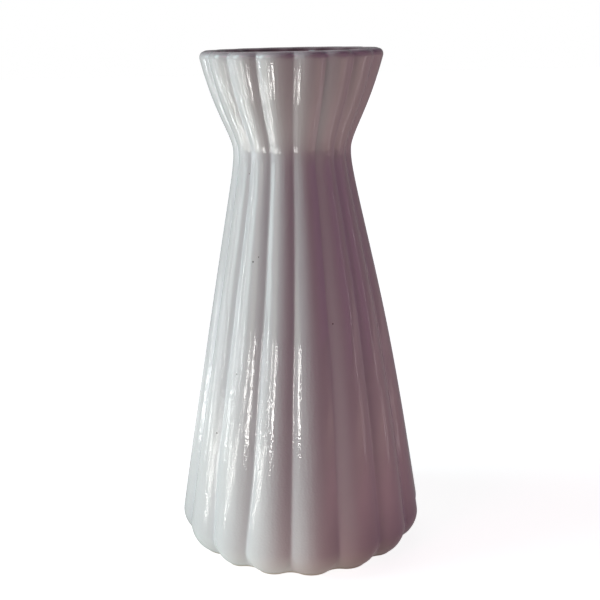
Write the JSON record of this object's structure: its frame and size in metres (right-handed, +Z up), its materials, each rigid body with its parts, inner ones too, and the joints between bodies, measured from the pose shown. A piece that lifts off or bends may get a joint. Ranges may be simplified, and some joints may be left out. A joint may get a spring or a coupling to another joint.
{
  "type": "ceramic table vase",
  "caption": "Slip-cast ceramic table vase with a tall fluted skirt, a narrow waist and a fluted collar that flares to an open mouth.",
  "frame": {"origin": "centre of the foot, on the surface that the vase stands on", "axes": "+Z up along the vase's axis, from the foot to the mouth; the pictured side looks along -Y"},
  "size_m": [0.1, 0.1, 0.2],
  "materials": {
    "biscuit": "bare fired clay, matt and finely grained",
    "white_glaze": "glossy white glaze, slightly rippled, with a few pinholes",
    "lining_glaze": "glossy white glaze, thinner and less even than outside",
    "recess_glaze": "glossy white glaze with soft brush marks"
  },
  "bodies": {
    "root": {"clay_body": "biscuit", "outer_glaze": "white_glaze", "lining_glaze": "lining_glaze", "recess_glaze": "recess_glaze"}
  },
  "joints": []
}
